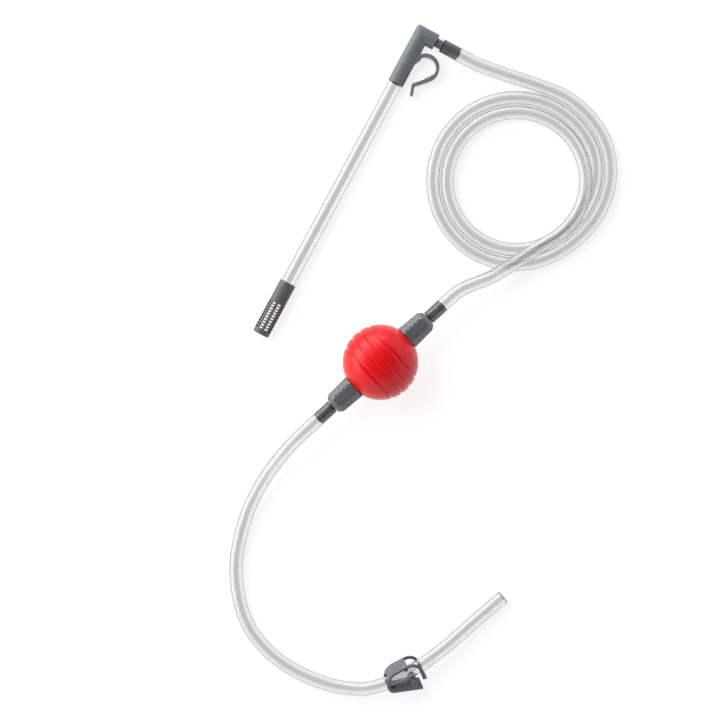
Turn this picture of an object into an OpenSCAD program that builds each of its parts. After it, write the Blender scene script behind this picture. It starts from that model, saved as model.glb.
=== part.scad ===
// Squeeze-bulb siphon for cleaning the gravel of an aquarium, laid out flat.
// Millimetres, +Z up, the floor at z = 0.
// Wand with strainer at the top left, coiled inlet hose at the right,
// bulb with two one-way valves in the middle, outlet hose with a flow clamp below.

/* [Hose] */
// Outer diameter of the soft hose
hose_od = 12; // [10:0.5:13]
// Bore of the soft hose
hose_bore = 9; // [6:0.5:9.5]
// Sides of the hose's section
hose_sides = 12; // [8:2:12]
// Straight length of hose at each fitting, past the barb
hose_straight = 12; // [12:1:20]
// Straight open end of the outlet hose
mouth_length = 20; // [12:1:30]

/* [Hose coil] */
// Radius of the innermost turn, at the middle of the hose
coil_r = 60.5; // [54:0.5:70]
// Space between neighbouring turns
coil_gap = 0.7; // [0.6:0.1:2]
// Height that the last stretch climbs over the coil, above one hose diameter
coil_climb = 1; // [0.8:0.1:3]

/* [Suction wand] */
// Outer diameter of the rigid tube
tube_od = 12.6; // [11:0.2:16]
// Wall of the rigid tube
tube_wall = 1.2; // [0.8:0.1:2]
// Length of tube that shows between elbow and strainer
tube_visible = 199; // [120:1:260]
// Wall of the elbow round the tube
elbow_wall = 0.9; // [0.8:0.1:2]
// Elbow's leg, from the crossing of its axes to its lower end
elbow_leg = 48.8; // [44:0.2:70]
// Elbow's arm, from the crossing of its axes to its end face
elbow_arm = 14.3; // [12:0.1:20]
// Depth that the tube goes into the elbow
elbow_socket = 28; // [18:1:30]
// Bore of the elbow above the tube
elbow_bore = 9.2; // [6:0.2:10]

/* [Strainer] */
// Wall of the strainer round the tube
strainer_wall = 1.1; // [1:0.1:2]
// Plain collar above the slots
strainer_collar = 20; // [16:0.5:30]
// Depth that the tube goes into the collar
strainer_grip = 18; // [8:0.5:18]
// Ledge that stops the tube
strainer_ledge = 0.6; // [0.4:0.1:1]
// Rows of slots
slot_rows = 10; // [4:1:14]
// Distance from row to row
slot_pitch = 2.7; // [2.2:0.1:4]
// Height of a slot
slot_height = 1.6; // [0.8:0.1:1.8]
// Width of a slot
slot_width = 4.1; // [2:0.1:4.2]
// Closed end below the slots
strainer_end = 4.4; // [3:0.1:8]

/* [Rim hook] */
// Radius of the hook's loop, at the middle of its strip
hook_r = 11; // [9:0.5:12]
// Thickness of the strip
hook_thick = 2.8; // [2:0.1:3.2]
// Width of the strip
hook_width = 9; // [5:0.5:12]
// Distance of the loop's centre below the elbow's crossing
hook_drop = 24.5; // [22:0.1:26]
// Straight run from the loop back to the kink
hook_run = 15; // [12:0.5:16]
// Flared tip past the kink
hook_tip = 8; // [5:0.5:12]
// Grip teeth on the straight run
hook_teeth = 4; // [2:1:5]

/* [Barbs] */
// Length of hose that a barb holds
barb_length = 17; // [12:0.5:22]
// Bare neck between the elbow's arm and the hose
elbow_neck = 5.9; // [2:0.1:8]
// Bare neck between a connector's cup and the hose
cup_neck = 0.5; // [0.5:0.1:4]
// Height of the barb's ridges
barb_ridge = 0.4; // [0.2:0.1:0.8]
// Ridges on a barb
barb_ridges = 3; // [2:1:4]
// Bore through a barb
barb_bore = 5.8; // [4:0.2:6.2]

/* [Squeeze bulb] */
// Diameter of the bulb
bulb_d = 65.5; // [58:0.5:76]
// Wall of the bulb
bulb_wall = 2.6; // [2:0.1:3.5]
// Grooves round the bulb
groove_count = 4; // [2:1:5]
// Distance from groove to groove
groove_pitch = 9.2; // [6:0.1:10]
// Radius of a groove's section
groove_r = 1.2; // [0.6:0.1:1.6]
// Outer diameter of the bulb's necks
neck_od = 17.2; // [15:0.1:17.6]
// Wall of the bulb's necks
neck_wall = 2.4; // [1.6:0.1:2.8]
// Length of a neck inside its cup
neck_grip = 11.2; // [8:0.2:16]

/* [Connectors and valves] */
// Width of a cup at the bulb, across its corners
cup_wide = 23.6; // [22.5:0.1:26]
// Width of a cup at its outer end, across its corners
cup_narrow = 21.4; // [20.6:0.1:23]
// Length of the sloping outer end
cup_slope = 3.8; // [2:0.1:5]
// Width of the outer end face, across its corners
cup_face = 14.6; // [13:0.1:18]
// Space between cup and bulb
cup_gap = 0.4; // [0.3:0.1:1]
// Diameter of the valve chamber
chamber_d = 14.4; // [13:0.1:15]
// Closed end of the cup, behind the valve
cup_end = 4.4; // [4:0.1:6]
// Thickness of a valve seat
seat_thick = 2.5; // [1.5:0.1:3.5]
// Bore of a valve seat
seat_bore = 6.4; // [4:0.1:8]
// Thickness of a valve cage
cage_thick = 2.1; // [1.5:0.1:3]
// Thickness of a valve disc
disc_thick = 1.2; // [0.8:0.1:2]
// Travel of a valve disc
disc_travel = 2.2; // [1:0.1:3]

/* [Flow clamp] */
// Radius of the loop on the side of the upper jaw
clamp_r = 12.8; // [12:0.1:14]
// Radius of the loop on the side of the lower jaw
clamp_low_r = 5.8; // [5.5:0.1:8]
// Angle at which the lower strip stands open
clamp_spread = 23; // [20:0.5:25]
// Length of the lower strip
clamp_reach = 25.5; // [23:0.1:25.5]
// Width of the strip
clamp_width = 16; // [15.2:0.1:20]
// Thickness of the strip
clamp_thick = 2.4; // [2:0.1:2.8]
// Length of the clamp, from loop to latch wall
clamp_length = 34.7; // [34:0.1:37]
// Radius of the jaws
jaw_r = 2; // [1.6:0.1:2.4]
// Hole in the upper jaw's boss
jaw_hole = 1.8; // [1:0.1:2.2]

/* [Fits] */
// Clearance of push fits, on the radius
push_fit = 0.05; // [0.02:0.01:0.1]
// Clearance of sliding and turning fits, on the radius
run_fit = 0.05; // [0.02:0.01:0.1]
// Space between parts that only come near each other
near = 0.3; // [0.2:0.05:0.5]
// Space between the end faces of stacked parts
stack_gap = 0.1; // [0.05:0.05:0.2]

/* [Hidden] */
$fn = 64;

// Colours of the mouldings, the rubber and the clear plastics
slate = "#6b7178";
dark_slate = "#4b5054";
clamp_grey = "#6d747b";
bulb_red = "#e3151c";
clear_hose = [0.85, 0.87, 0.88, 0.5];
clear_tube = [0.88, 0.9, 0.91, 0.5];
valve_rubber = "#2b2c2e";
valve_plastic = "#d9dadb";

// A length past every edge, for cuts
over = 1;
// How much a hinge bead is thicker than half its strip
bead_swell = 0.2;
far = 200;

// Where the pieces lie on the floor, and how they are turned
wand_at = [56, 165.5];
wand_turn = -28.3;
bulb_at = [19.5, -122.5];
bulb_turn = 42.5;
coil_at = [139, 37];
clamp_at = [41.5, -395];
clamp_turn = 27.5;
clamp_tilt = 25;
mouth_at = [128, -329];
mouth_turn = 40;

hose_r = hose_od / 2;
bore_r = hose_bore / 2;
// The section's bore is drawn round the barb, so that its flats clear it
bore_corner_r = bore_r / cos(180 / hose_sides);
barb_r = bore_r - push_fit;

// Wand, in its own frame: crossing of the elbow's axes at 0, arm along +X, leg along -Y
tube_r = tube_od / 2;
elbow_r = tube_r + push_fit + elbow_wall;
strainer_r = tube_r + run_fit + strainer_wall;
wand_z = max(elbow_r, strainer_r);
strainer_top = elbow_leg + tube_visible;
strainer_length = strainer_collar + slot_rows * slot_pitch + strainer_end;
strainer_bore_r = tube_r - strainer_ledge;
slot_columns = 4;
end_round = 1.5;
elbow_hose_start = elbow_arm + elbow_neck;
elbow_barb_end = elbow_hose_start + barb_length;

// Rim hook in the wand's frame: loop, straight run, kink and tip
hook_root_angle = 135;
hook_end_angle = -43;
hook_tip_bend = 62;
hook_half = hook_thick / 2;
hook_bead_r = hook_half + bead_swell;
hook_boss_r = hook_bead_r + 1.5;
hook_boss_from = 142;
hook_boss_to = 290;
hook_root = [elbow_r + hook_bead_r + run_fit, hook_r * sin(hook_root_angle) - hook_drop];
hook_centre = [hook_root[0] - hook_r * cos(hook_root_angle), -hook_drop];
hook_tooth_h = 1.2;
hook_tooth_w = 1.8;
hook_tooth_from = 3.8;
hook_fillet = 6;

// Bulb and connectors, along the bulb's axis from its centre
bulb_r = bulb_d / 2;
neck_r = neck_od / 2;
neck_bore_r = neck_r - neck_wall;
cup_start = sqrt(pow(bulb_r, 2) - pow(neck_r + push_fit, 2)) + cup_gap;
neck_end = cup_start + neck_grip;
chamber_r = chamber_d / 2;
chamber_start = neck_end + stack_gap;
chamber_length = seat_thick + disc_thick + disc_travel + cage_thick + 3 * stack_gap;
chamber_end = chamber_start + chamber_length;
cup_stop = chamber_end + cup_end;
cup_hose_start = cup_stop + cup_neck;
cup_barb_end = cup_hose_start + barb_length;
cup_sides = 8;
insert_r = chamber_r - push_fit;
disc_r = chamber_r - near;
disc_notches = 6;
disc_notch_r = 1.2;
cage_rim = 1.4;
cage_hub_r = 1.7;
cage_spoke = 1.4;
cage_spokes = 3;

// Flow clamp, in its own frame: hose along X, jaws closing along Y, strip's width along Z
clamp_half = clamp_thick / 2;
clamp_top = hose_r + near + 2 * jaw_r + 0.2;
clamp_left = -19.5;
clamp_right = clamp_left + clamp_length;
clamp_centre = [clamp_left + clamp_r, clamp_top - clamp_r];
clamp_low_centre = [clamp_left + clamp_low_r, clamp_centre[1]];
clamp_pivot = [clamp_left + clamp_half, clamp_centre[1]];
clamp_bead_r = clamp_half + bead_swell;
clamp_seat_r = clamp_bead_r + run_fit;
clamp_hole_r = hose_r + 0.5;
// The arm's hole reaches higher, to clear the hose as the arm swings down
arm_hole_rise = 1.2;
upper_jaw = [2.5, hose_r + near + jaw_r];
lower_jaw = [4, -hose_r - near - jaw_r];
// The lower strip has a frame of its own, about its loop's centre and with the strip along X
function in_strip(p) = turned(p - clamp_low_centre, clamp_spread);
clamp_bottom = -(clamp_low_centre + turned([clamp_reach, -clamp_low_r], -clamp_spread))[1];
block_from = 0.5;
block_to = 6.4;
latch_teeth = 3;
latch_tooth = 0.6;
latch_pitch = 1.8;
latch_lip = 1.2;
bend_r = 10;
slot_from = upper_jaw[0] + jaw_r + 0.2;
wall_bottom = -(hose_r + near + 3.2);
bar_top = -(hose_r + 0.5);
clamp_z = clamp_bottom * sin(clamp_tilt) + clamp_width / 2 * cos(clamp_tilt);
pinch_from = -13;
pinch_to = 8.4;

// Vectors
function unit(v) = v / norm(v);
function turned(v, a) = [v[0] * cos(a) - v[1] * sin(a), v[0] * sin(a) + v[1] * cos(a)];
function heading(a) = [cos(a), sin(a), 0];
function lift(v, z) = [v[0], v[1], z];
function smooth(x) = let (c = min(max(x, 0), 1)) c * c * (3 - 2 * c);

// Places along the fittings, on the floor plan
function on_arm(x) = lift(wand_at + turned([x, 0], wand_turn), wand_z);
function on_bulb(u) = lift(bulb_at + turned([u, 0], bulb_turn), bulb_r);
function on_clamp(x) = lift(clamp_at + turned([x, 0], clamp_turn), clamp_z);
function on_mouth(x) = lift(mouth_at + turned([x, 0], mouth_turn), hose_r);

// Coil: clockwise from above, from its outer end inwards. Each turn steps in by one
// pitch over a quarter turn, and the last stretch climbs over the turns below it.
coil_pitch = hose_od + coil_gap;
coil_turns = 2;
coil_steps = 24;
coil_first = 60;
coil_last = -60 - 360 * coil_turns;
coil_step_at = 30;
coil_step_span = 90;
climb_from = 630;
climb_span = 140;
function coil_run(a) = coil_step_at - a;
function coil_inner(a) = let (f = max(coil_run(a), 0), n = floor(f / 360))
  min(n + smooth((f - 360 * n) / coil_step_span), coil_turns);
function coil_radius(a) = coil_r + coil_pitch * (coil_turns - coil_inner(a));
function coil_height(a) = hose_r
  + (hose_od + coil_climb) * smooth((-a - climb_from) / climb_span);
function coil_point(a) = lift(coil_at + coil_radius(a) * [cos(a), sin(a)], coil_height(a));
coil_angle_step = 360 / coil_steps;
coil_path = [for (a = [coil_first:-coil_angle_step:coil_last]) coil_point(a)];
coil_start_dir = heading(coil_first - 90);
coil_end_dir = heading(coil_last - 90);

// Hand-chosen points of the free stretches, between their straight ends
lead_points = [[126, 132, 6.4], [153, 123, 6.1]];
tail_points = [[143, -32, 20.5], [117, -48, 27]];
outlet_points = [[-63, -200, 27], [-82, -225, 15], [-98, -257, 7], [-107, -297, 6.1],
  [-104, -333, 6.1], [-93, -360, 6.1], [-73, -382, 6.1], [-50, -396, 6.5], [-24, -405, 8.5],
  [1, -408, 12]];
end_points = [[79, -369, 11]];

// A smooth curve through points, leaving along d0 and arriving along d1
function tangent(p, d0, d1, i) = i == 0 ? d0 * norm(p[1] - p[0])
  : i == len(p) - 1 ? d1 * norm(p[i] - p[i - 1])
  : (p[i + 1] - p[i - 1]) / 2;
function hermite(p0, p1, m0, m1, t) = let (t2 = t * t, t3 = t2 * t)
  (2 * t3 - 3 * t2 + 1) * p0 + (t3 - 2 * t2 + t) * m0
  + (3 * t2 - 2 * t3) * p1 + (t3 - t2) * m1;
function curve(p, d0, d1, steps) = concat(
  [for (i = [0:len(p) - 2], k = [0:steps - 1])
    hermite(p[i], p[i + 1], tangent(p, d0, d1, i), tangent(p, d0, d1, i + 1), k / steps)],
  [p[len(p) - 1]]);

arm_dir = heading(wand_turn);
bulb_dir = heading(bulb_turn);
clamp_dir = heading(clamp_turn);
mouth_dir = heading(mouth_turn);
lead_path = concat([on_arm(elbow_hose_start)],
  curve(concat([on_arm(elbow_barb_end + hose_straight)], lead_points, [coil_path[0]]),
    arm_dir, coil_start_dir, 2));
tail_path = concat(
  curve(concat([coil_path[len(coil_path) - 1]], tail_points,
      [on_bulb(cup_barb_end + hose_straight)]),
    coil_end_dir, -bulb_dir, 2),
  [on_bulb(cup_hose_start)]);
outlet_path = concat([on_bulb(-cup_hose_start)],
  curve(concat([on_bulb(-cup_barb_end - hose_straight)], outlet_points,
      [on_clamp(pinch_from - hose_straight)]),
    -bulb_dir, clamp_dir, 2),
  [on_clamp(pinch_from)]);
pinch_path = [on_clamp(pinch_from), on_clamp(pinch_to)];
end_path = concat([on_clamp(pinch_to)],
  curve(concat([on_clamp(pinch_to + hose_straight)], end_points, [on_mouth(-mouth_length)]),
    clamp_dir, mouth_dir, 2));

// Least space between the coil's turns, from point to point, and under the tail
function gap_to_self(p, skip) = min([for (i = [0:len(p) - 1 - skip], j = [i + skip:len(p) - 1])
  norm(p[i] - p[j])]) - hose_od;
function gap_between(p, q) = min([for (a = p, b = q) norm(a - b)]) - hose_od;
coil_fine = [for (a = [coil_first:-5:coil_last]) coil_point(a)];
tail_fine = curve(concat([coil_path[len(coil_path) - 1]], tail_points,
    [on_bulb(cup_barb_end + hose_straight)]), coil_end_dir, -bulb_dir, 8);
coil_below = [for (a = [coil_first:-5:coil_last + 90]) coil_point(a)];
echo("least gap between the coil's turns", gap_to_self(coil_fine, 36));
echo("least gap between the tail and the turns below", gap_between(tail_fine, coil_below));

// A hose along a path: rings of outer and inner corners, joined by triangles
module hose(path, d0, d1) {
  last = len(path) - 1;
  s = hose_sides;
  dirs = [for (i = [0:last]) i == 0 ? d0 : i == last ? d1
    : unit(unit(path[i + 1] - path[i]) + unit(path[i] - path[i - 1]))];
  points = [for (i = [0:last], r = [hose_r, bore_corner_r], k = [0:s - 1])
    let (side = unit(cross(dirs[i], [0, 0, 1])), up = cross(side, dirs[i]))
    path[i] + r * (cos(360 * k / s) * side + sin(360 * k / s) * up)];
  outer = [for (i = [0:last]) 2 * i * s];
  inner = [for (i = [0:last]) (2 * i + 1) * s];
  skin = [for (i = [0:last - 1], k = [0:s - 1]) let (n = (k + 1) % s)
    each [[outer[i] + k, outer[i + 1] + n, outer[i] + n],
          [outer[i] + k, outer[i + 1] + k, outer[i + 1] + n]]];
  lining = [for (i = [0:last - 1], k = [0:s - 1]) let (n = (k + 1) % s)
    each [[inner[i] + k, inner[i] + n, inner[i + 1] + n],
          [inner[i] + k, inner[i + 1] + n, inner[i + 1] + k]]];
  ends = [for (k = [0:s - 1]) let (n = (k + 1) % s)
    each [[outer[0] + k, outer[0] + n, inner[0] + n],
          [outer[0] + k, inner[0] + n, inner[0] + k],
          [outer[last] + k, inner[last] + n, outer[last] + n],
          [outer[last] + k, inner[last] + k, inner[last] + n]]];
  polyhedron(points = points, faces = concat(skin, lining, ends), convexity = 10);
}

// Frames of the wand, the bulb and the clamp
module at_wand() {
  translate(lift(wand_at, wand_z)) rotate([0, 0, wand_turn]) children();
}
module along_leg(from) {
  translate([0, -from, 0]) rotate([90, 0, 0]) children();
}
module along_arm(from) {
  translate([from, 0, 0]) rotate([0, 90, 0]) children();
}
module at_bulb(flip = 0) {
  translate(lift(bulb_at, bulb_r)) rotate([0, 0, bulb_turn + flip]) rotate([0, 90, 0])
    children();
}
module at_clamp() {
  translate(lift(clamp_at, clamp_z)) rotate([0, 0, clamp_turn]) rotate([clamp_tilt, 0, 0])
    children();
}

// A pie slice of the plane, for cutting rings into arcs
module slice(r, from, to) {
  steps = 8;
  polygon(concat([[0, 0]],
    [for (i = [0:steps]) 2 * r * [cos(from + (to - from) * i / steps),
      sin(from + (to - from) * i / steps)]]));
}
module arc(r_out, r_in, from, to) {
  intersection() {
    difference() {
      circle(r = r_out);
      circle(r = r_in);
    }
    slice(r_out, from, to);
  }
}

// A strip on edge, centred on the plane of its bends
module on_edge(width) {
  translate([0, 0, -width / 2]) linear_extrude(height = width) children();
}

// A bare neck and a barb with ridges, along +Z
module barb(neck) {
  core_r = barb_r - barb_ridge;
  ridge_pitch = (barb_length - 2) / barb_ridges;
  cylinder(r = core_r, h = neck + barb_length);
  for (i = [0:barb_ridges - 1]) {
    translate([0, 0, neck + 2 + i * ridge_pitch])
      cylinder(r1 = barb_r, r2 = core_r, h = ridge_pitch * 0.8);
  }
}

// Half of space on one side of the elbow's mitre
module mitre_side(sign) {
  rotate([0, 0, 45]) translate([sign > 0 ? 0 : -far, -far, -far]) cube([far, 2 * far, 2 * far]);
}

module elbow() {
  socket_top = elbow_leg - elbow_socket;
  color(slate) at_wand() difference() {
    union() {
      intersection() {
        along_leg(-elbow_r) cylinder(r = elbow_r, h = elbow_leg + elbow_r);
        mitre_side(-1);
      }
      intersection() {
        along_arm(-elbow_r) cylinder(r = elbow_r, h = elbow_arm + elbow_r);
        mitre_side(1);
      }
      along_arm(elbow_arm - over) barb(elbow_neck + over);
      hook_boss();
    }
    along_leg(socket_top) cylinder(r = tube_r + push_fit, h = elbow_socket + over);
    along_leg(-barb_bore / 2) cylinder(r = elbow_bore / 2, h = socket_top + barb_bore / 2 + over);
    along_arm(0) cylinder(r = barb_bore / 2, h = elbow_barb_end + over);
  }
}

// Seat of the hook's root on the leg, with a fillet below it
module hook_boss() {
  fillet_top = hook_root + hook_boss_r * [cos(hook_boss_to), sin(hook_boss_to)];
  on_edge(hook_width) difference() {
    union() {
      translate(hook_root) slice(hook_boss_r / 2, hook_boss_from, hook_boss_to);
      polygon([[tube_r + elbow_wall / 2, fillet_top[1] - hook_fillet],
        [elbow_r, fillet_top[1] - hook_fillet],
        fillet_top, hook_root, [tube_r + elbow_wall / 2, hook_root[1]]]);
    }
    translate(hook_root) circle(r = hook_bead_r + run_fit);
  }
}

// Drawn about the loop's centre, with the straight run along -Y
module rim_hook() {
  sweep = hook_root_angle - hook_end_angle;
  tooth_pitch = hook_tooth_w + 0.4;
  tooth_tip = hook_r - hook_half - hook_tooth_h;
  color(slate) at_wand() translate(lift(hook_centre, 0)) rotate([0, 0, hook_end_angle])
    on_edge(hook_width) {
      translate(hook_r * [cos(sweep), sin(sweep)]) circle(r = hook_bead_r);
      arc(hook_r + hook_half, hook_r - hook_half, 0, sweep);
      translate([hook_r - hook_half, -hook_run]) square([hook_thick, hook_run]);
      translate([hook_r, -hook_run]) {
        circle(r = hook_half);
        rotate(hook_tip_bend) translate([-hook_half, -hook_tip]) square([hook_thick, hook_tip]);
        rotate(hook_tip_bend) translate([0, -hook_tip]) circle(r = hook_half);
      }
      // Teeth from the loop's last stretch onto the run
      for (i = [0:hook_teeth - 1]) {
        along = hook_tooth_from - i * tooth_pitch;
        rotate(max(along, 0) / (hook_r - hook_half) * 180 / PI) translate([0, min(along, 0)])
          polygon([[hook_r, hook_tooth_w / 2], [tooth_tip, 0], [hook_r, -hook_tooth_w / 2]]);
      }
    }
}

module suction_tube() {
  top = elbow_leg - elbow_socket + stack_gap;
  bottom = strainer_top + strainer_grip;
  color(clear_tube) at_wand() along_leg(top) difference() {
    cylinder(r = tube_r, h = bottom - top);
    translate([0, 0, -over]) cylinder(r = tube_r - tube_wall, h = bottom - top + 2 * over);
  }
}

module strainer() {
  first_row = strainer_collar + slot_pitch / 2;
  color(dark_slate) at_wand() along_leg(strainer_top) difference() {
    rotate_extrude() difference() {
      union() {
        square([strainer_r, strainer_length - end_round]);
        square([strainer_r - end_round, strainer_length]);
        translate([strainer_r - end_round, strainer_length - end_round]) circle(r = end_round);
      }
      translate([0, -over]) square([tube_r + run_fit, strainer_grip + stack_gap + over]);
      square([strainer_bore_r, strainer_length - strainer_end + end_round]);
    }
    for (row = [0:slot_rows - 1], column = [0:slot_columns - 1]) {
      translate([0, 0, first_row + row * slot_pitch])
        rotate([0, 0, (column + 0.5) * 180 / slot_columns])
          cube([2 * strainer_r + 2 * over, slot_width, slot_height], center = true);
    }
  }
}

module squeeze_bulb() {
  color(bulb_red) at_bulb() difference() {
    union() {
      sphere(r = bulb_r, $fn = 96);
      cylinder(r = neck_r, h = 2 * neck_end, center = true);
    }
    sphere(r = bulb_r - bulb_wall, $fn = 96);
    cylinder(r = neck_bore_r, h = 2 * (neck_end + over), center = true);
    for (i = [0:groove_count - 1]) {
      u = (i - (groove_count - 1) / 2) * groove_pitch;
      translate([0, 0, u]) rotate_extrude()
        translate([sqrt(pow(bulb_r, 2) - pow(u, 2)) + groove_r * 0.3, 0]) circle(r = groove_r);
    }
  }
}

// Cup with a socket for the bulb's neck, a valve chamber and a hose barb
module connector() {
  straight = cup_stop - cup_slope - cup_start;
  color(dark_slate) difference() {
    union() {
      rotate([0, 0, 180 / cup_sides]) {
        translate([0, 0, cup_start])
          cylinder(d1 = cup_wide, d2 = cup_narrow, h = straight, $fn = cup_sides);
        translate([0, 0, cup_stop - cup_slope])
          cylinder(d1 = cup_narrow, d2 = cup_face, h = cup_slope, $fn = cup_sides);
      }
      translate([0, 0, cup_stop - over]) barb(cup_neck + over);
    }
    translate([0, 0, cup_start - over])
      cylinder(r = neck_r + push_fit, h = neck_grip + stack_gap + over);
    translate([0, 0, cup_start]) cylinder(r = chamber_r, h = chamber_end - cup_start);
    cylinder(d = barb_bore, h = cup_barb_end + over);
  }
}

// Valve pieces stand along +Z: from is the piece's lower face
module valve_seat(from) {
  color(valve_plastic) translate([0, 0, from]) difference() {
    cylinder(r = insert_r, h = seat_thick);
    translate([0, 0, -over]) cylinder(d = seat_bore, h = seat_thick + 2 * over);
  }
}
module valve_disc(from) {
  color(valve_rubber) translate([0, 0, from]) difference() {
    cylinder(r = disc_r, h = disc_thick);
    for (i = [0:disc_notches - 1]) {
      rotate([0, 0, i * 360 / disc_notches]) translate([disc_r, 0, -over])
        cylinder(r = disc_notch_r, h = disc_thick + 2 * over);
    }
  }
}
module valve_cage(from) {
  color(valve_plastic) translate([0, 0, from]) linear_extrude(height = cage_thick) {
    difference() {
      circle(r = insert_r);
      circle(r = insert_r - cage_rim);
    }
    circle(r = cage_hub_r);
    for (i = [0:cage_spokes - 1]) {
      rotate(i * 360 / cage_spokes) translate([0, -cage_spoke / 2])
        square([insert_r - cage_rim / 2, cage_spoke]);
    }
  }
}

// Inlet: water comes down the barb and lifts the disc off the seat, towards the bulb
inlet_seat_at = chamber_end - seat_thick;
inlet_disc_at = inlet_seat_at - stack_gap - disc_thick;
module inlet_connector() { at_bulb() connector(); }
module inlet_valve_seat() { at_bulb() valve_seat(inlet_seat_at); }
module inlet_valve_disc() { at_bulb() valve_disc(inlet_disc_at); }
module inlet_valve_cage() { at_bulb() valve_cage(chamber_start); }

// Outlet: water leaves the bulb and lifts the disc off the seat, towards the barb
outlet_disc_at = chamber_start + seat_thick + stack_gap;
module outlet_connector() { at_bulb(180) connector(); }
module outlet_valve_seat() { at_bulb(180) valve_seat(chamber_start); }
module outlet_valve_disc() { at_bulb(180) valve_disc(outlet_disc_at); }
module outlet_valve_cage() { at_bulb(180) valve_cage(chamber_end - cage_thick); }

module inlet_hose_lead() { color(clear_hose) hose(lead_path, arm_dir, coil_start_dir); }
module inlet_hose_coil() { color(clear_hose) hose(coil_path, coil_start_dir, coil_end_dir); }
module inlet_hose_tail() { color(clear_hose) hose(tail_path, coil_end_dir, -bulb_dir); }
module outlet_hose() { color(clear_hose) hose(outlet_path, -bulb_dir, clamp_dir); }
module outlet_hose_pinch() { color(clear_hose) hose(pinch_path, clamp_dir, clamp_dir); }
module outlet_hose_end() { color(clear_hose) hose(end_path, clamp_dir, mouth_dir); }

// Open end of the outlet hose, a true round so that a fitting can be pushed in
module outlet_hose_mouth() {
  color(clear_hose) translate(on_mouth(-mouth_length)) rotate([0, 0, mouth_turn])
    rotate([0, 90, 0]) difference() {
      cylinder(r = hose_r, h = mouth_length);
      translate([0, 0, -over]) cylinder(r = bore_r, h = mouth_length + 2 * over);
    }
}

// The hole in the clamp's loop that the hose runs through
module hose_hole(rise = 0) {
  translate([clamp_left - over, rise, 0]) rotate([0, 90, 0])
    cylinder(r = clamp_hole_r, h = clamp_r);
}

module clamp_body() {
  block = [in_strip([block_from, lower_jaw[1]]), in_strip([block_to, lower_jaw[1]])];
  strip_mid = clamp_half - clamp_low_r;
  color(clamp_grey) at_clamp() difference() {
    translate(lift(clamp_low_centre, 0)) rotate([0, 0, -clamp_spread]) on_edge(clamp_width) {
      translate(in_strip(clamp_pivot)) circle(r = clamp_bead_r);
      arc(clamp_low_r, clamp_low_r - clamp_thick, 180 + clamp_spread, 270);
      translate([0, -clamp_low_r]) square([clamp_reach, clamp_thick]);
      polygon([[block[0][0], strip_mid], [block[1][0], strip_mid], block[1], block[0]]);
      translate(in_strip(lower_jaw)) circle(r = jaw_r);
      for (i = [0:latch_teeth - 1]) {
        foot = [block[1][0], strip_mid + clamp_half + 0.4 + i * latch_pitch];
        polygon([foot - [latch_tooth, 0], foot + [latch_tooth, 0],
          foot + [-latch_tooth, 2 * (latch_pitch - 0.4)]]);
      }
    }
    hose_hole();
  }
}

module clamp_arm() {
  bend_at = [clamp_right - bend_r, clamp_top - bend_r];
  color(clamp_grey) at_clamp() difference() {
    on_edge(clamp_width) difference() {
      union() {
        translate(clamp_centre) arc(clamp_r, clamp_r - clamp_thick, 90, 180);
        translate([clamp_centre[0], clamp_top - clamp_thick])
          square([bend_at[0] - clamp_centre[0], clamp_thick]);
        translate(bend_at) arc(bend_r, bend_r - clamp_thick, 0, 90);
        translate([clamp_right - clamp_thick, wall_bottom])
          square([clamp_thick, bend_at[1] - wall_bottom]);
        translate([clamp_right - clamp_thick - latch_lip, wall_bottom])
          polygon([[0, 0.6], [latch_lip, 0], [latch_lip, 2], [0, 1.2]]);
        translate(upper_jaw) circle(r = jaw_r);
      }
      translate(clamp_pivot) circle(r = clamp_seat_r);
      translate(upper_jaw) circle(d = jaw_hole);
    }
    hose_hole();
    hose_hole(arm_hole_rise);
    translate([slot_from, bar_top, -clamp_hole_r])
      cube([clamp_right - slot_from + over, clamp_top - bar_top + over, 2 * clamp_hole_r]);
  }
}

elbow();
rim_hook();
suction_tube();
strainer();
inlet_hose_lead();
inlet_hose_coil();
inlet_hose_tail();
inlet_connector();
inlet_valve_seat();
inlet_valve_disc();
inlet_valve_cage();
squeeze_bulb();
outlet_connector();
outlet_valve_seat();
outlet_valve_disc();
outlet_valve_cage();
outlet_hose();
outlet_hose_pinch();
outlet_hose_end();
outlet_hose_mouth();
clamp_body();
clamp_arm();
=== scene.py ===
"""Squeeze-bulb siphon for cleaning the gravel of an aquarium, laid out flat.

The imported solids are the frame, and the pieces built here stand for them in pictures.
Lengths are in metres, with the origin and axes of the solids: +Z up, the floor at z = 0.
"""

import math

import bmesh
import bpy
from bpy.props import FloatProperty, FloatVectorProperty, IntProperty, PointerProperty
from mathutils import Matrix, Vector


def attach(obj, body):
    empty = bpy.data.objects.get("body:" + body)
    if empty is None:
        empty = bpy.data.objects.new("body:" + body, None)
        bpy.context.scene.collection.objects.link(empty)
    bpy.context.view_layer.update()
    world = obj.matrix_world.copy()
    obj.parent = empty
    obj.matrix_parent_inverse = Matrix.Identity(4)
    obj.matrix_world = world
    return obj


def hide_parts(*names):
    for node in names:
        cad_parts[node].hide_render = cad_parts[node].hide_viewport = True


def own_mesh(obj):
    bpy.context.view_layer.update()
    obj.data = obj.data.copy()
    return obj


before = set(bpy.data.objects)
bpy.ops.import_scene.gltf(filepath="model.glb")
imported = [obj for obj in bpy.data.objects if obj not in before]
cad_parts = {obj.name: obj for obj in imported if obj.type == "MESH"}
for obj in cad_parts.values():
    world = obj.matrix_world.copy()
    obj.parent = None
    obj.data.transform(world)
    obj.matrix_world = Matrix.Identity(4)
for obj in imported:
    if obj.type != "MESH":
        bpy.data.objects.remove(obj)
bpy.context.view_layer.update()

bl_info = {
    "name": "Gravel vacuum siphon",
    "version": (1, 0, 0),
    "blender": (4, 5, 0),
    "location": "View3D > Sidebar > Siphon",
    "description": "Builds a squeeze-bulb siphon with wand, hoses and flow clamp",
    "category": "Add Mesh",
}

MM = 0.001


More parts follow.
